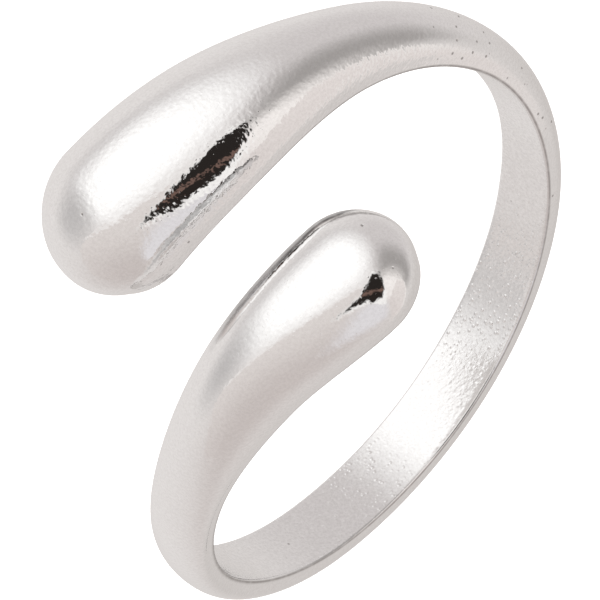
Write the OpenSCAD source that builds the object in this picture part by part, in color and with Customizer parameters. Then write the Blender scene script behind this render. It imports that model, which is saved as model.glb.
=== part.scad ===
// Open finger ring of cast metal. One band runs round the finger, its two arms pass each
// other at the front with a slot between them, and each ends in a solid teardrop.
// The ring lies on its side on the ground, Z = 0: the large drop hangs below the band,
// so the ring leans on that drop and on the back of the band. Millimetres, +Z up, front at -Y.

/* [Finger hole] */
// Inner diameter of the band
finger_diameter = 17; // [14:0.5:22]

/* [Band] */
// Width at the back of the finger
band_width = 2.2; // [1.6:0.1:3.2]
// Thickness from the finger to the crown at the back
band_thickness = 1.2; // [1:0.1:2.2]
// Height of the straight side wall under the domed crown
wall_height = 0.4; // [0.2:0.05:0.6]
// How full the dome is: 2 is an ellipse, and more is flatter on top and steeper at the sides
fullness = 2.1; // [1.8:0.05:3]

/* [Large drop] */
// Greatest width
large_width = 4.9; // [3.6:0.1:6]
// Height of its crown over the finger
large_height = 2.35; // [1.6:0.1:3.4]
// Width of the neck that leads into it
large_neck_width = 1.6; // [1.2:0.1:2.4]
// Height of the neck's crown over the finger
large_neck_height = 1.2; // [0.9:0.05:1.6]
// How far its crown leans up along the finger, as a share of its half width
large_lean = 0.05; // [-0.1:0.01:0.3]
// How far its tip lies below the middle of the band, along the finger
large_shift = 5; // [4.4:0.1:6.5]
// How far its tip reaches round the finger from the back, in degrees
large_reach = 202; // [188:1:215]

/* [Small drop] */
// Greatest width
small_width = 3.9; // [3:0.1:4.6]
// Height of its crown over the finger
small_height = 1.95; // [1.3:0.05:2.4]
// Width of the neck that leads into it
small_neck_width = 2.1; // [1.2:0.1:2.4]
// Height of the neck's crown over the finger
small_neck_height = 0.95; // [0.8:0.05:1.4]
// How far its crown leans up along the finger, as a share of its half width
small_lean = 0.05; // [-0.1:0.01:0.3]
// How far the neck's crown leans so, as a share of the neck's half width
small_neck_lean = 0.15; // [-0.1:0.01:0.3]
// How far its tip lies above the middle of the band, along the finger
small_shift = 3.4; // [3:0.1:5]
// How far its tip reaches round the finger from the back, in degrees
small_reach = 199; // [188:1:215]

/* [Hidden] */

// Smoothness: sections along an arm, sections round its tip, steps over the dome
BODY_STEPS = 56;
TIP_STEPS = 14;
DOME_STEPS = 20;
BORE_FN = 180;

finger_radius = finger_diameter / 2;
// The swept band starts this far inside the finger hole, and the bore then cuts it back
BORE_OVERLAP = 0.5;
BORE_LENGTH = 3 * finger_diameter;
// Share of a tip's half width that its last section keeps, so that the tip ends in a small flat
TIP_FLAT = 0.06;

// An arm is a list of its named sizes: the way that it runs round the finger, its reach in
// degrees, its shift along the finger, and then its half widths, its crown heights and its
// crown's leans, each of them at the back, at the neck and at the drop.
large_arm = [1, large_reach, -large_shift,
    [band_width / 2, large_neck_width / 2, large_width / 2],
    [band_thickness, large_neck_height, large_height],
    [0, 0, large_lean]];
small_arm = [-1, small_reach, small_shift,
    [band_width / 2, small_neck_width / 2, small_width / 2],
    [band_thickness, small_neck_height, small_height],
    [0, small_neck_lean, small_lean]];
function way(arm) = arm[0];
function reach(arm) = arm[1];
function shift(arm) = arm[2];
function half_widths(arm) = arm[3];
function heights(arm) = arm[4];
function leans(arm) = arm[5];

// The form of an arm from the back to its tip, with four columns. ALONG is the share of its
// reach, and SWAY the share of its shift. WIDE and HIGH say what its width and its height are
// like there: -1 as at the back, 0 as at the neck, 1 as at the drop, and in between a share of
// that step.
ALONG = function (row) row[0];
SWAY = function (row) row[1];
WIDE = function (row) row[2];
HIGH = function (row) row[3];
large_form = [
    [0.00, 0.00, -1.00, -1.00],
    [0.22, 0.04, -0.66, -0.02],
    [0.44, 0.20,  0.00,  0.00],
    [0.65, 0.50,  0.34,  0.44],
    [0.81, 0.73,  0.88,  0.72],
    [0.92, 0.89,  1.00,  1.00],
    [1.00, 1.00,  1.00,  1.00]];
small_form = [
    [0.00,  0.00, -1.00, -1.00],
    [0.22, -0.03, -1.18, -0.96],
    [0.45, -0.01,  0.00,  0.00],
    [0.65,  0.20,  0.12,  0.04],
    [0.81,  0.52,  0.58,  1.10],
    [0.92,  0.81,  1.00,  1.00],
    [1.00,  1.00,  1.00,  1.00]];

// Smooth curve through one column of a form. It starts level and ends on its last slope.
function run_after(form, i) = ALONG(form[i + 1]) - ALONG(form[i]);
function secant(form, column, i) =
    (column(form[i + 1]) - column(form[i])) / run_after(form, i);
function tangent(form, column, i) =
    i == 0 ? 0
    : i == len(form) - 1 ? secant(form, column, i - 1)
    : (secant(form, column, i - 1) + secant(form, column, i)) / 2;
function row_before(form, x, i = 0) =
    i < len(form) - 2 && x > ALONG(form[i + 1]) ? row_before(form, x, i + 1) : i;
function form_at(form, column, x) =
    let (i = row_before(form, x),
        run = run_after(form, i),
        u = (x - ALONG(form[i])) / run)
    (2 * u^3 - 3 * u^2 + 1) * column(form[i])
    + (u^3 - 2 * u^2 + u) * run * tangent(form, column, i)
    + (3 * u^2 - 2 * u^3) * column(form[i + 1])
    + (u^3 - u^2) * run * tangent(form, column, i + 1);
SLOPE_STEP = 0.002;
function form_slope(form, column, x) =
    let (before = max(x - SLOPE_STEP, 0), after = min(x + SLOPE_STEP, 1))
    (form_at(form, column, after) - form_at(form, column, before)) / (after - before);

// What a WIDE or HIGH value stands for, from an arm's sizes at the back, neck and drop
function between(sizes, value) =
    value < 0 ? sizes[1] + (sizes[0] - sizes[1]) * -value
    : sizes[1] + (sizes[2] - sizes[1]) * value;
// The column that holds what another column stands for
function sized(sizes, column) = function (row) between(sizes, column(row));
function half_width(arm, form, x) = form_at(form, sized(half_widths(arm), WIDE), x);
function crown(arm, form, x) = form_at(form, sized(heights(arm), HIGH), x);
function lean(arm, form, x) = form_at(form, sized(leans(arm), HIGH), x);

// An arm is drawn flat, along the finger's circumference, and wrapped round the finger
function arm_length(arm) = finger_radius * reach(arm) * PI / 180;
function slant(arm, form, x) = atan(shift(arm) * form_slope(form, SWAY, x) / arm_length(arm));
// Share of the reach that the round tip takes
function tip_share(arm, form) =
    half_width(arm, form, 1) * cos(slant(arm, form, 1)) / arm_length(arm);
// 1 up to where the tip's rounding starts, and almost 0 at the tip
function rounding(arm, form, x) =
    let (into = max(1 - (1 - x) / tip_share(arm, form), 0))
    max(sqrt(1 - min(into, 1)^2), TIP_FLAT);

// The dome's outline over its half turn, in shares of its half width and of its height
function dome_across(a) = sign(cos(a)) * pow(abs(cos(a)), 2 / fullness);
function dome_up(a) = pow(abs(sin(a)), 2 / fullness);

// One section: from the finger up one side wall, over the dome and down the other side wall.
// foot is the height over the finger at which both walls start.
function section(arm, form, x, foot) =
    let (share = rounding(arm, form, x),
        w = half_width(arm, form, x) * share,
        dome = (crown(arm, form, x) - wall_height) * share,
        tilt = slant(arm, form, x),
        side = lean(arm, form, x),
        flat = concat([[-w, foot]],
            [for (k = [0:DOME_STEPS])
                let (a = 180 * k / DOME_STEPS)
                [w * (side * dome_up(a) - dome_across(a)), wall_height + dome * dome_up(a)]],
            [[w, foot]]))
    [for (p = flat)
        let (turn = way(arm) * (reach(arm) * x - p[0] * sin(tilt) * 180 / PI / finger_radius),
            r = finger_radius + p[1])
        [r * cos(turn), r * sin(turn), shift(arm) * form_at(form, SWAY, x) + p[0] * cos(tilt)]];

// Places of an arm's sections in shares of its reach, closer together round the tip
function places(arm, form) =
    let (start = 1 - tip_share(arm, form))
    concat([for (k = [0:BODY_STEPS - 1]) start * k / BODY_STEPS],
        [for (k = [0:TIP_STEPS]) start + (1 - start) * sin(90 * k / TIP_STEPS)]);

// All sections, from the tip of the large drop round the back to the tip of the small drop
function sections(foot) =
    let (large = places(large_arm, large_form), small = places(small_arm, small_form))
    concat([for (i = [len(large) - 1:-1:0]) section(large_arm, large_form, large[i], foot)],
        [for (i = [1:len(small) - 1]) section(small_arm, small_form, small[i], foot)]);

// Faces between neighbouring sections, and the two flats that close the tips
function skin(rows) =
    let (n = len(rows[0]), last = (len(rows) - 1) * n)
    concat([for (i = [0:len(rows) - 2], k = [0:n - 1])
            let (a = i * n + k, b = i * n + (k + 1) % n)
            each [[a, b + n, b], [a, a + n, b + n]]],
        fan([for (k = [0:n - 1]) k]),
        fan([for (k = [n - 1:-1:0]) last + k]));
function fan(loop) = [for (k = [1:len(loop) - 2]) [loop[0], loop[k], loop[k + 1]]];

// Points of the finished surface, and those below its crown, which may touch the ground
surface_rows = sections(0);
surface_points = [for (row = surface_rows) each row];
function crown_point(row) = row[floor(len(row) / 2)];
low_points = [for (row = surface_rows, p = row) if (p[2] <= crown_point(row)[2]) p];

// Balance point of the solid metal, from the pyramids that its faces make with the origin
function total(list, i = 0, sum = [0, 0, 0, 0]) =
    i == len(list) ? sum : total(list, i + 1, sum + list[i]);
function balance(points, faces) =
    let (pyramids = [for (face = faces)
            let (a = points[face[0]], b = points[face[1]], c = points[face[2]],
                volume = cross(a, b) * c,
                centre = (a + b + c) / 4)
            [volume, volume * centre[0], volume * centre[1], volume * centre[2]]],
        all = total(pyramids))
    [all[1], all[2], all[3]] / all[0];
balance_point = balance(surface_points, skin(surface_rows));

// The ring rests as it does by itself, with its balance point as low over the ground as it
// comes. The ground's two slopes under the upright ring, from front to back and across, are
// found by closing a range of slopes in on the lowest stand.
FRONT_SLOPES = [0, 0.6];
SIDE_SLOPES = [-0.3, 0.3];
CLOSING_STEPS = 16;
GOLDEN_SHARE = 0.618;
function up_over(along, across) = let (v = [-along, -across, 1]) v / norm(v);
function stand(up) = balance_point * up - min([for (p = low_points) p * up]);
function lowest(stand_at, range, steps) =
    let (part = GOLDEN_SHARE * (range[1] - range[0]), a = range[1] - part, b = range[0] + part)
    steps <= 0 ? (range[0] + range[1]) / 2
    : lowest(stand_at, stand_at(a) < stand_at(b) ? [range[0], b] : [a, range[1]], steps - 1);
function across_for(along) =
    lowest(function (across) stand(up_over(along, across)), SIDE_SLOPES, CLOSING_STEPS);
slope_along =
    lowest(function (along) stand(up_over(along, across_for(along))), FRONT_SLOPES, CLOSING_STEPS);

// Where up, the back and the right of the resting ring point in the upright ring's own frame
up_way = up_over(slope_along, across_for(slope_along));
level_back = [1, 0, 0] - up_way * up_way[0];
back_way = level_back / norm(level_back);
right_way = cross(back_way, up_way);
resting_points = [for (p = surface_points) [right_way * p, back_way * p, up_way * p]];
function low(axis) = min([for (p = resting_points) p[axis]]);
function high(axis) = max([for (p = resting_points) p[axis]]);
seat = [-(low(0) + high(0)) / 2, -(low(1) + high(1)) / 2, -low(2)];

module swept_band() {
    rows = sections(-BORE_OVERLAP);
    polyhedron([for (row = rows) each row], skin(rows));
}

module cuff_ring() {
    color("silver")
        translate(seat)
            multmatrix([right_way, back_way, up_way])
                difference() {
                    swept_band();
                    cylinder(r = finger_radius, h = BORE_LENGTH, center = true, $fn = BORE_FN);
                }
}

cuff_ring();
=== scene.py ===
"""Open cuff ring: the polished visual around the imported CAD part, with its studio and camera."""
import math

import bpy
import numpy as np
from mathutils import Matrix, Vector


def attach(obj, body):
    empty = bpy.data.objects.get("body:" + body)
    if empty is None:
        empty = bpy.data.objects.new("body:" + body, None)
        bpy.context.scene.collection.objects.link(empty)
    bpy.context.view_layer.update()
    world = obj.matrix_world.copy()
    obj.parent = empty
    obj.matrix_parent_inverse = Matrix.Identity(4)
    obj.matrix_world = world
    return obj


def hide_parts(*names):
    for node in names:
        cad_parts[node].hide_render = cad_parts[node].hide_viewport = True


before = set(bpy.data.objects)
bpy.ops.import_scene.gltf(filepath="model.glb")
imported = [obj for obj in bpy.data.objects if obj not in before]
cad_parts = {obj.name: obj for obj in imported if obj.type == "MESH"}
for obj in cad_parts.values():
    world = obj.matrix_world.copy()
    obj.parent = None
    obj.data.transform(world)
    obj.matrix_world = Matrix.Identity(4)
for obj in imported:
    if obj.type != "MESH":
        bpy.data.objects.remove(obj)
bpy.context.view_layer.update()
MM = 0.001

# The ring's sizes, as in part.scad, in mm
FINGER_R = 8.5
WALL = 0.4
FULLNESS = 2.1
# Way round the finger, reach in degrees, shift along the finger, then half widths, crown heights
# and leans, each at the back, the neck and the drop
LARGE = dict(way=1, reach=202.0, shift=-5.0, widths=(1.1, 0.8, 2.45),
             heights=(1.2, 1.2, 2.35), leans=(0.0, 0.0, 0.05))
SMALL = dict(way=-1, reach=199.0, shift=3.4, widths=(1.1, 1.05, 1.95),
             heights=(1.2, 0.95, 1.95), leans=(0.0, 0.15, 0.05))
# The form along each arm: place, sideways sway, width and height. Widths and heights are shares,
# -1 at the back, 0 at the neck, 1 at the drop. The places are given. The shares between
# the first and the last row, and the sizes above apart from the finger's, are a least-squares
# solver's rounded output against the photo, and not chosen by hand.
LARGE_FORM = np.array([
    [0.00, 0.00, -1.00, -1.00],
    [0.22, 0.04, -0.66, -0.02],
    [0.44, 0.20, 0.00, 0.00],
    [0.65, 0.50, 0.34, 0.44],
    [0.81, 0.73, 0.88, 0.72],
    [0.92, 0.89, 1.00, 1.00],
    [1.00, 1.00, 1.00, 1.00]])
SMALL_FORM = np.array([
    [0.00, 0.00, -1.00, -1.00],
    [0.22, -0.03, -1.18, -0.96],
    [0.45, -0.01, 0.00, 0.00],
    [0.65, 0.20, 0.12, 0.04],
    [0.81, 0.52, 0.58, 1.10],
    [0.92, 0.81, 1.00, 1.00],
    [1.00, 1.00, 1.00, 1.00]])
# Rounding of the finger side's edges
RIM = 0.09
# Painted shade line in the rims: its place and half width as shares of the rounding, its reach up
# the wall
RIM_SHADE_AT = 0.95
RIM_SHADE_HALF = 0.13
RIM_SHADE_UP = 0.025
# How far over the wall the large drop's rougher side reaches
ROUGHER_UP = 0.8
# Painted shade band on the small drop's side facing the slot: its stretch and its darker core's
# along the arm, its lower and upper edge over the finger
SLOT_SHADE_RUN = (23.8, 29.1)
SLOT_SHADE_CORE_RUN = (26.0, 28.8)
SLOT_SHADE_FOOT = 0.85
SLOT_SHADE_TOP = 1.5

# How finely the mesh follows an arm, its tip, its dome, its rounded edges and its finger side
BODY_STEPS = 320
TIP_STEPS = 60
DOME_STEPS = 84
RIM_STEPS = 6
WALL_STEPS = 7
FLAT_STEPS = 16

# Half the step over which an arm's slope is taken, as a share of the arm, and the last section's
# gap to the very tip, as a share of the tip
SLOPE_STEP = 0.002
TIP_GAP = 2e-6

# The resting pose that part.scad finds: the ring's own axes as rows, and the finger's middle in mm
RIGHT_WAY = (0.0, -0.991719, -0.128427)
BACK_WAY = (0.955015, -0.0380859, 0.294101)
UP_WAY = (-0.296557, -0.12265, 0.947107)
SEAT = (0.0634077, 1.18805, 3.94079)


def form_curve(form, column, x, sizes=None):
    """Smooth curve through a column, or through what it stands for in the sizes."""
    along, value = form[:, 0], form[:, column]
    if sizes:
        value = between(sizes, value)
    secants = np.diff(value) / np.diff(along)
    tangents = np.r_[0, (secants[:-1] + secants[1:]) / 2, secants[-1]]
    i = np.clip(np.searchsorted(along, x) - 1, 0, len(along) - 2)
    run = along[i + 1] - along[i]
    u = (x - along[i]) / run
    return ((2 * u**3 - 3 * u**2 + 1) * value[i] + (u**3 - 2 * u**2 + u) * run * tangents[i]
            + (3 * u**2 - 2 * u**3) * value[i + 1] + (u**3 - u**2) * run * tangents[i + 1])


def between(sizes, value):
    back, neck, drop = sizes
    return np.where(value < 0, neck + (back - neck) * -value, neck + (drop - neck) * value)


def flat_places(wide, rim):
    """Places across the finger side of each section, from one rounded edge to the other."""
    bend = np.linspace(math.pi / 2, 0, RIM_STEPS + 1)
    edge = wide - rim * (1 - np.sin(bend))
    middle = (wide - rim) * np.linspace(1, -1, FLAT_STEPS + 1)[1:-1]
    return np.concatenate([edge, middle, -edge[:, ::-1]], 1)


def arm_rows(arm, form):
    """Closed sections of one arm from the back to its tip, in the upright ring's frame, with each
    point's shares of what the metal tells apart, and its place along and round it in mm."""
    length = FINGER_R * math.radians(arm["reach"])

    def tilt_at(x):
        before, after = np.maximum(x - SLOPE_STEP, 0), np.minimum(x + SLOPE_STEP, 1)
        rise = (form_curve(form, 1, after) - form_curve(form, 1, before)) / (after - before)
        return np.arctan(arm["shift"] * rise / length)

    tip_half = arm["widths"][2]
    tip_share = tip_half * math.cos(tilt_at(np.array([1.0]))[0]) / length
    tip_turn = np.linspace(0, math.pi / 2, TIP_STEPS + 1)[:-1]
    x = np.r_[np.linspace(0, 1 - tip_share, BODY_STEPS + 1)[:-1],
              1 - tip_share + tip_share * np.sin(tip_turn), 1 - tip_share * TIP_GAP]
    into = np.clip(1 - (1 - x) / tip_share, 0, 1)
    share = np.sqrt(1 - into**2)
    wide = (form_curve(form, 2, x, arm["widths"]) * share)[:, None]
    dome = ((form_curve(form, 3, x, arm["heights"]) - WALL) * share)[:, None]
    lean = form_curve(form, 3, x, arm["leans"])[:, None]
    tilt = tilt_at(x)

    # One loop: over the finger side from right to left, up the left wall, over the dome, down
    floor = flat_places(wide, np.minimum(RIM, wide / 2))
    a = np.linspace(0, math.pi, DOME_STEPS + 1)
    up = np.abs(np.sin(a)) ** (2 / FULLNESS)
    across = lean * up - np.sign(np.cos(a)) * np.abs(np.cos(a)) ** (2 / FULLNESS)
    rise = np.linspace(0, 1, WALL_STEPS + 1)[1:-1]
    p = np.concatenate([floor, wide * np.full_like(rise, -1.0), wide * across,
                        wide * np.ones_like(rise)], 1)
    flat = floor.shape[1]
    from_tip = tip_half - np.hypot(tip_half * into[:, None], floor)
    off = np.minimum(wide - np.abs(floor), np.where(into[:, None] > 0, from_tip, RIM))
    bend = np.clip(1 - off / RIM, 0, 1)
    lift = RIM * (1 - np.sqrt(1 - bend**2))
    wall_up = np.tile(RIM + (WALL - RIM) * rise, (len(x), 1))
    q = np.concatenate([lift, wall_up, WALL + dome * up, wall_up[:, ::-1]], 1)

    sideways = p * np.sin(tilt)[:, None] / FINGER_R
    turn = arm["way"] * (math.radians(arm["reach"]) * x[:, None] - sideways)
    r = FINGER_R + q
    h = arm["shift"] * form_curve(form, 1, x)[:, None] + p * np.cos(tilt)[:, None]
    points = np.stack([r * np.cos(turn), r * np.sin(turn), h], -1)

    run = length * x[:, None]
    finger_side = np.zeros(p.shape)
    finger_side[:, :flat] = 1 - bend
    edge = np.exp(-(np.maximum(q - WALL, 0) / ROUGHER_UP)**2) * (p > 0) * (arm["way"] > 0)
    edge[:, :flat] = 0
    shares = [finger_side, rim_shade_share(arm, run, bend, rise, p.shape), edge,
              slot_shade_share(arm, run, p, q)]
    step = np.hypot(np.diff(p, axis=1), np.diff(q, axis=1))
    rounds = np.concatenate([np.zeros((len(x), 1)), np.cumsum(step, 1)], 1)
    signed_run = np.broadcast_to(arm["way"] * run, p.shape)
    return points, np.stack([signed_run, rounds, np.zeros(p.shape)], -1), *shares


def rim_shade_share(arm, run, bend, rise, shape):
    """Painted shade line in the rims, wider up the small arm's wall away from the back."""
    flat = bend.shape[1]
    line = np.zeros(shape)
    line[:, :flat] = np.exp(-((bend - RIM_SHADE_AT) / RIM_SHADE_HALF)**2) * (bend > 0)
    spread = RIM_SHADE_UP + (arm["way"] < 0) * 0.001 * np.minimum(run, 15)
    above = np.exp(-((WALL - RIM) * rise / spread)**2)
    line[:, flat:flat + len(rise)] = above
    line[:, -len(rise):] = above[:, ::-1]
    return line


def fade(depth, over):
    """Share from 0 to 1 over the first mm of a depth."""
    return np.clip(depth / over, 0, 1)


def slot_shade_share(arm, run, p, q):
    """Painted shade band under the small drop's left side, where it faces the large drop across the
    slot, darkest along its upper edge, which drops towards the tip."""
    top = SLOT_SHADE_TOP + 0.08 * np.maximum(27.5 - run, 0) - 0.5 * np.maximum(run - 28.3, 0)
    band = fade(top - q, 0.08) * fade(q - SLOT_SHADE_FOOT, 0.1) * (p < 0)
    band = band * fade(run - SLOT_SHADE_RUN[0], 1.2) * fade(SLOT_SHADE_RUN[1] - run, 0.4)
    core = np.exp(-((q - top + 0.1) / 0.07)**2) * fade(run - SLOT_SHADE_CORE_RUN[0], 0.8)
    core = core * fade(SLOT_SHADE_CORE_RUN[1] - run, 0.5)
    return band * (0.6 + 0.4 * core) * (arm["way"] < 0)


def build_ring():
    """One closed mesh from tip to tip, posed at rest, with its shares as attributes."""
    large = arm_rows(LARGE, LARGE_FORM)
    small = arm_rows(SMALL, SMALL_FORM)
    points, wrap, *shares = (np.concatenate([a[::-1], b[1:]]) for a, b in zip(large, small))
    rows, n = points.shape[:2]
    pose = np.array([RIGHT_WAY, BACK_WAY, UP_WAY])
    co = (points.reshape(-1, 3) @ pose.T + np.array(SEAT)) * MM
    i, k = np.meshgrid(np.arange(rows - 1), np.arange(n), indexing="ij")
    a, b = i * n + k, i * n + (k + 1) % n
    quads = np.stack([a, b, b + n, a + n], -1).reshape(-1, 4)
    faces = quads.tolist() + [list(range(n))[::-1], list(range((rows - 1) * n, rows * n))]
    mesh = bpy.data.meshes.new("ring_metal")
    mesh.from_pydata(co.tolist(), [], faces)
    for name, share in zip(("finger_side", "rim_shade_line", "edge", "slot_shade"), shares):
        mesh.attributes.new(name, "FLOAT", "POINT").data.foreach_set("value", share.ravel())
    mesh.attributes.new("wrap", "FLOAT_VECTOR", "POINT").data.foreach_set("vector", wrap.ravel())
    mesh.shade_smooth()
    mesh.validate()
    ring = bpy.data.objects.new("ring_metal", mesh)
    bpy.context.scene.collection.objects.link(ring)
    return ring


class Shader:
    """Short calls for the nodes of one material or world."""

    def __init__(self, tree):
        self.nodes, self.links = tree.nodes, tree.links
        tree.nodes.clear()

    def put(self, kind, settings=None, **inputs):
        node = self.nodes.new(kind)
        for name, value in (settings or {}).items():
            setattr(node, name, value)
        for name, value in inputs.items():
            self.set(node.inputs[name.replace("_", " ")], value)
        return node

    def set(self, socket, value):
        if isinstance(value, bpy.types.NodeSocket):
            self.links.new(value, socket)
        else:
            socket.default_value = value

    def math(self, operation, *values):
        node = self.put("ShaderNodeMath", {"operation": operation})
        for socket, value in zip(node.inputs, values):
            self.set(socket, value)
        return node.outputs[0]

    def vector(self, operation, *values):
        node = self.put("ShaderNodeVectorMath", {"operation": operation})
        for socket, value in zip(node.inputs, values):
            self.set(socket, value)
        return node.outputs["Value" if operation == "DOT_PRODUCT" else "Vector"]

    def ramp(self, value, low, high, to_low=0.0, to_high=1.0, smooth=True):
        kind = "SMOOTHSTEP" if smooth else "LINEAR"
        node = self.put("ShaderNodeMapRange", {"interpolation_type": kind}, Value=value,
                        From_Min=low, From_Max=high, To_Min=to_low, To_Max=to_high)
        return node.outputs["Result"]

    def mix(self, share, a, b):
        node = self.put("ShaderNodeMix", {"data_type": "RGBA"})
        colours = [socket for socket in node.inputs if socket.type == "RGBA"]
        self.set(node.inputs[0], share)
        self.set(colours[0], a)
        self.set(colours[1], b)
        return [socket for socket in node.outputs if socket.type == "RGBA"][0]

    def dots(self, vector, per_mm, inner, outer, least):
        """Round dots, one in each cell whose chance is over the least."""
        cell = self.put("ShaderNodeTexVoronoi", None, Vector=vector, Scale=per_mm, Randomness=1.0)
        chance = self.put("ShaderNodeSeparateColor", None, Color=cell.outputs["Color"]).outputs[0]
        dot = self.ramp(cell.outputs["Distance"], inner, outer, 1.0, 0.0)
        return self.math("MULTIPLY", dot, self.ramp(chance, least, 1.0, smooth=False))

    def noise(self, vector, per_mm, detail=2.0, roughness=0.5, distortion=0.0):
        node = self.put("ShaderNodeTexNoise", None, Vector=vector, Scale=per_mm, Detail=detail,
                        Roughness=roughness, Distortion=distortion)
        return node.outputs[0]


def shade(red, green, blue):
    """A display shade as a colour of light: 255 is white, and more is brighter than white."""
    parts = [((c / 255 + 0.055) / 1.055) ** 2.4 for c in (red, green, blue)]
    return (*parts, 1.0)


# Depths of the surface's layers, in mm
WAVES_DEPTH = 0.003
HAIRS_DEPTH = 0.0004
PEEL_DEPTH = (0.0035, 0.0068)
ROUGHER_DEPTH = 0.018
PIT_DEPTH = 0.012
DOTS_DEPTH = 0.0018
SAND_DEPTH = 0.005
GRAINS_DEPTH = 0.014
# How far the finger side tips along the band, in radians
FINGER_TIP = 0.05
# Roughness of the polish, of what the neck has more, and of the finger side
POLISH_ROUGH = 0.045
NECK_ROUGH = 0.13
FINGER_ROUGH = 0.13
# Colours of the metal, and of its sand, its darker pits and the painted shade in the rims and on the
# small drop
SILVER_DARK = (0.885, 0.878, 0.875, 1.0)
SILVER_LIGHT = (0.965, 0.962, 0.96, 1.0)
SAND_GREY = (0.45, 0.44, 0.43, 1.0)
# Grey of the darker pits and of the painted shade line in the rims
PIT_AND_RIM_SHADE_GREY = (0.3, 0.28, 0.27, 1.0)
# Painted shade in the band on the small drop's side facing the slot
SLOT_SHADE_GREY = (0.05, 0.047, 0.047, 1.0)


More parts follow.
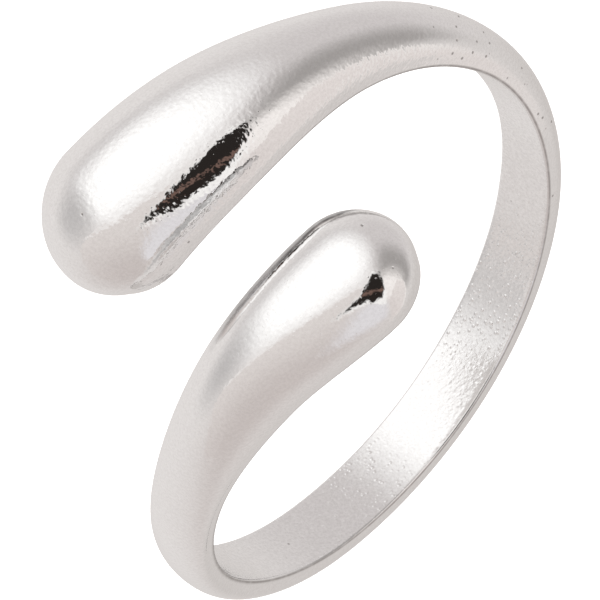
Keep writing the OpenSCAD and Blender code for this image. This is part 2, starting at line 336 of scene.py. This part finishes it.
def metal():
    """Polished silvery metal. Places are in mm: the spot in space, run along the band and rounds."""
    material = bpy.data.materials.new("polished_silver")
    material.use_nodes = True
    s = Shader(material.node_tree)
    place = s.put("ShaderNodeTexCoord").outputs["Object"]
    spot = s.vector("MULTIPLY", place, (1 / MM, 1 / MM, 1 / MM))
    # The rim and band shares carry painted shade along the rims and on the small drop
    finger, rim, edge, slot_shade = (s.put("ShaderNodeAttribute", {"attribute_name": name}).outputs["Fac"]
                               for name in ("finger_side", "rim_shade_line", "edge", "slot_shade"))
    wrap = s.put("ShaderNodeAttribute", {"attribute_name": "wrap"}).outputs["Vector"]
    parts = s.put("ShaderNodeSeparateXYZ", None, Vector=wrap)
    run, rounds = parts.outputs["X"], parts.outputs["Y"]

    # The polish: soft waves, hair scratches, and an orange peel that is coarser on the large drop
    # and calmer on its neck
    waves = s.noise(spot, 1.6, 2.0)
    peel = s.noise(spot, 7.0, 0.7, 0.5)
    hairs = s.noise(s.vector("MULTIPLY", wrap, (1.2, 16.0, 1.0)), 1.0, 3.0, 0.6, 0.3)
    calm = s.ramp(s.math("ABSOLUTE", s.math("SUBTRACT", run, 15.0)), 5.5, 8.5, 0.3, 1.0)
    coarse = s.math("MULTIPLY", s.ramp(run, 14.0, 22.0, *PEEL_DEPTH), calm)
    polish = s.math("ADD", s.math("MULTIPLY", waves, WAVES_DEPTH),
                    s.math("MULTIPLY", peel, coarse))
    polish = s.math("ADD", polish, s.math("MULTIPLY", hairs, HAIRS_DEPTH))

    # The large drop is left rougher towards the slot
    rougher = s.math("MULTIPLY", s.math("MULTIPLY", edge, s.ramp(run, 15.0, 21.0)),
                     ROUGHER_DEPTH)
    polish = s.math("ADD", polish, s.math("MULTIPLY", s.noise(spot, 6.0, 1.0), rougher))

    # Small pits of the casting, here and there, and many beside the large arm's neck
    cell = s.put("ShaderNodeTexVoronoi", None, Vector=spot, Scale=3.0, Randomness=1.0)
    chance = s.put("ShaderNodeSeparateColor", None, Color=cell.outputs["Color"]).outputs[0]
    by_neck = s.ramp(s.math("ABSOLUTE", s.math("SUBTRACT", run, 13.5)), 2.5, 4.5, 0.8, 0.0)
    few = s.math("SUBTRACT", 0.98, s.math("MULTIPLY", by_neck, s.ramp(rounds, 3.9, 4.3)))
    pit = s.math("MULTIPLY", s.ramp(cell.outputs["Distance"], 0.07, 0.19, 1.0, 0.0),
                 s.math("GREATER_THAN", chance, few))
    polish = s.math("SUBTRACT", polish, s.math("MULTIPLY", pit, PIT_DEPTH))
    dots = s.math("MULTIPLY", s.dots(spot, 9.0, 0.1, 0.32, 0.45), calm)
    polish = s.math("ADD", polish, s.math("MULTIPLY", dots, DOTS_DEPTH))

    # The cast finger side: round grains of sand over a finer grain, fewer near the back where the
    # key light's reflection falls
    sand = s.noise(spot, 8.0, 3.0, 0.55)
    grains = s.dots(spot, 6.2, 0.05, 0.44, 0.1)
    thinned_in_highlight = s.ramp(s.math("ABSOLUTE", s.math("ADD", run, 1.0)), 1.4, 2.6, 0.12, 1.0)
    coarser = s.ramp(s.math("ABSOLUTE", s.math("SUBTRACT", run, 3.5)), 0.9, 2.6, 2.3, 1.0)
    back = s.ramp(s.math("ABSOLUTE", run), 5.5, 9.0, 1.0, 0.15)
    how_rough = s.math("MULTIPLY", s.math("MULTIPLY", thinned_in_highlight, coarser), back)
    sandy = s.math("ADD", s.math("MULTIPLY", sand, SAND_DEPTH),
                   s.math("MULTIPLY", s.math("MULTIPLY", grains, how_rough), GRAINS_DEPTH))

    height = s.math("ADD", s.math("MULTIPLY", polish, s.math("SUBTRACT", 1.0, finger)),
                    s.math("MULTIPLY", sandy, finger))
    bump = s.put("ShaderNodeBump", None, Strength=1.0, Distance=MM, Height=height).outputs[0]

    # The finger side tips slightly along the band, near the back
    from_seat = s.vector("SUBTRACT", spot, SEAT)
    axis = (RIGHT_WAY[2], BACK_WAY[2], UP_WAY[2])
    along = s.vector("CROSS_PRODUCT", axis, from_seat)
    tip = s.math("MULTIPLY", s.math("MULTIPLY", finger, back), FINGER_TIP / FINGER_R)
    normal = s.vector("NORMALIZE", s.vector("ADD", bump, s.vector("MULTIPLY", along, tip)))

    # Colour: a faint speckle, darker pits, and painted shade in lines along the rims and in a band
    # on the small drop
    speckle = s.ramp(s.noise(spot, 12.0, 2.0, 0.7), 0.35, 0.65, smooth=False)
    colour = s.mix(speckle, SILVER_DARK, SILVER_LIGHT)
    # Dark sand speckle on the finger side, thinned near the back where the key light's reflection
    # falls: a painted highlight there
    sand_shade = s.ramp(s.noise(spot, 9.0, 2.0, 0.6), 0.35, 0.65, 0.14, 0.0, smooth=False)
    sand_shade = s.math("MULTIPLY", s.math("MULTIPLY", sand_shade, finger), thinned_in_highlight)
    colour = s.mix(sand_shade, colour, SAND_GREY)
    # Painted shade: a dark line along the rims, broken up by a patchy noise, and the pits drawn
    # darker
    patchy = s.ramp(s.noise(spot, 3.5, 2.0), 0.3, 0.6, 0.75, 1.0)
    pit_and_rim_shade = s.math("MAXIMUM", s.math("MULTIPLY", pit, 0.8),
                  s.math("MULTIPLY", s.math("MULTIPLY", rim, patchy), 0.85))
    colour = s.mix(pit_and_rim_shade, colour, PIT_AND_RIM_SHADE_GREY)
    # Painted shade: a dark band on the small drop's side that faces the large drop across the slot
    colour = s.mix(s.math("MULTIPLY", slot_shade, patchy), colour, SLOT_SHADE_GREY)
    rough = s.math("ADD", POLISH_ROUGH, s.math("MULTIPLY", by_neck, NECK_ROUGH))
    rough = s.math("ADD", s.math("MULTIPLY", rough, s.math("SUBTRACT", 1.0, finger)),
                   s.math("MULTIPLY", finger, FINGER_ROUGH))
    body = s.put("ShaderNodeBsdfPrincipled", None, Metallic=1.0, Base_Color=colour, Roughness=rough,
                 Normal=normal)
    out = s.put("ShaderNodeOutputMaterial")
    s.set(out.inputs["Surface"], body.outputs[0])
    return material


ring = build_ring()
ring.data.materials.append(metal())
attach(ring, "root")
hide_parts("cuff_ring")


def pale_floor():
    """Wide matt floor at z = 0."""
    bpy.ops.mesh.primitive_plane_add(size=1.2, location=(0, 0, 0))
    floor = bpy.context.object
    floor.name = "floor"
    material = bpy.data.materials.new("pale_floor")
    material.use_nodes = True
    s = Shader(material.node_tree)
    white = s.put("ShaderNodeBsdfPrincipled", None, Base_Color=(0.9, 0.9, 0.9, 1.0), Roughness=0.8)
    s.set(s.put("ShaderNodeOutputMaterial").inputs["Surface"], white.outputs[0])
    floor.data.materials.append(material)
    # The metal mirrors the studio alone
    floor.visible_glossy = False
    floor.visible_shadow = False


pale_floor()

# The studio that the metal mirrors, all of it far away. A disc has its middle and radius, a panel
# its corners, as azimuth from +X and height over the ground in degrees. Each has a soft edge of so
# many degrees and its shade in the picture, and lies over those before it. Most places and much of
# the softness are a solver's output against the photo's colours, and the rest was changed one by
# one.
STUDIO_STRENGTH = 1.09
STUDIO_SHADE = (221, 217, 215)
STUDIO = [
    dict(name="far_side", at=(101, -13), radius=36, soft=57, shade=(199, 194, 191)),
    dict(name="wall", at=(189, -3), radius=45, soft=54, shade=(201, 196, 195)),
    dict(name="light_surround", at=(262, -22), radius=38, soft=28, shade=(200, 196, 195)),
    dict(name="key_light", at=(261, -8), radius=34, soft=36, shade=(261, 260, 259)),
    dict(name="left_shade", at=(311, -24), radius=20, soft=36, shade=(188, 185, 184)),
    dict(name="dark_curtain", soft=32, shade=(159, 155, 153),
         corners=((234, 41), (209, 1), (142, 11), (123, 28), (238, 69))),
    dict(name="right_light", soft=29, shade=(239, 234, 231),
         corners=((214, 37), (156, 35), (124, 42), (112, 69), (269, 51))),
    dict(name="card_edge", soft=2, shade=(229, 224, 221),
         corners=((173, 45), (145, 38), (118, 28), (98, 21), (83, 25), (129, 74))),
    dict(name="card", soft=2, shade=(222, 215, 212),
         corners=((171, 47), (144, 39), (120, 33), (98, 22), (83, 26), (129, 74))),
    dict(name="table_edge", soft=3, shade=(230, 226, 224),
         corners=((350, -25), (295, 12), (260, 36), (174, 83), (84, 11), (44, 9), (7, -2))),
    dict(name="table", soft=2, shade=(217, 211, 208),
         corners=((348, -23), (296, 15), (260, 39), (174, 85), (83, 16), (44, 9), (5, -1))),
    dict(name="table_shade", at=(19, 42), radius=46, soft=82, shade=(195, 187, 184)),
    dict(name="sheet", soft=14, shade=(217, 214, 216),
         corners=((288, 62), (141, 75), (78, 43), (22, 63))),
    dict(name="bright_frame", soft=5, shade=(241, 239, 237),
         corners=((233, 27), (225, 34), (123, 75), (288, 48))),
    dict(name="dark_frame", soft=4, shade=(40, 36, 34),
         corners=((236, 32), (224, 35), (214, 54), (198, 77), (286, 49))),
    dict(name="warm_patch", soft=3, shade=(112, 90, 82),
         corners=((264, 48), (217, 61), (208, 66), (273, 49.5))),
    dict(name="dark_disc", at=(254, 67), radius=9, soft=4, shade=(40, 35, 33)),
]


def way(azimuth, height):
    """Direction from an azimuth and a height in degrees."""
    a, e = math.radians(azimuth), math.radians(height)
    return Vector((math.cos(e) * math.cos(a), math.cos(e) * math.sin(a), math.sin(e)))


def studio_mask(s, look, item):
    """How much of the item lies in each direction."""
    half = math.radians(item["soft"]) / 2
    if "radius" in item:
        off = s.math("ARCCOSINE", s.vector("DOT_PRODUCT", look, way(*item["at"])))
        radius = math.radians(item["radius"])
        return s.ramp(off, radius - half, radius + half, 1.0, 0.0)
    corners = [way(*corner) for corner in item["corners"]]
    middle = sum(corners, Vector())
    mask = 1.0
    for first, second in zip(corners, corners[1:] + corners[:1]):
        inward = first.cross(second).normalized()
        if inward.dot(middle) < 0:
            inward.negate()
        off = s.math("ARCSINE", s.vector("DOT_PRODUCT", look, inward))
        mask = s.math("MULTIPLY", mask, s.ramp(off, -half, half))
    return mask


def studio():
    """World that shows the studio in every direction."""
    world = bpy.data.worlds.new("studio")
    bpy.context.scene.world = world
    world.use_nodes = True
    s = Shader(world.node_tree)
    look = s.put("ShaderNodeTexCoord").outputs["Generated"]
    colour = shade(*STUDIO_SHADE)
    for item in STUDIO:
        colour = s.mix(studio_mask(s, look, item), colour, shade(*item["shade"]))
    back = s.put("ShaderNodeBackground", None, Color=colour, Strength=STUDIO_STRENGTH)
    s.set(s.put("ShaderNodeOutputWorld").inputs["Surface"], back.outputs[0])


studio()

# A lamp for the floor alone, so that it comes out white
lamp = bpy.data.lights.new("floor_light", "AREA")
lamp.size = 1.0
lamp.energy = 8.0
lamp.use_shadow = False
over = bpy.data.objects.new("floor_light", lamp)
over.location = (0.0, 0.0, 0.6)
over.visible_glossy = False
bpy.context.scene.collection.objects.link(over)

# The camera, solved together with the form, with its place and aim in mm and its roll in degrees
CAMERA_AT = Vector((-7.82, -118.9, 107.84)) * MM
CAMERA_AIM = Vector((0.636, -0.075, 2.561)) * MM
CAMERA_ROLL = 132.28
camera = bpy.data.cameras.new("camera")
camera.lens = 313.2
camera.sensor_width = 36.0
camera.clip_start, camera.clip_end = 0.01, 5.0
view = bpy.data.objects.new("camera", camera)
bpy.context.scene.collection.objects.link(view)
bpy.context.scene.camera = view
forward = (CAMERA_AIM - CAMERA_AT).normalized()
view.rotation_mode = "QUATERNION"
view.location = CAMERA_AT
view.rotation_quaternion = (forward.to_track_quat("-Z", "Y").to_matrix()
                            @ Matrix.Rotation(math.radians(CAMERA_ROLL), 3, "Z")).to_quaternion()

bpy.context.scene.view_settings.view_transform = "Standard"
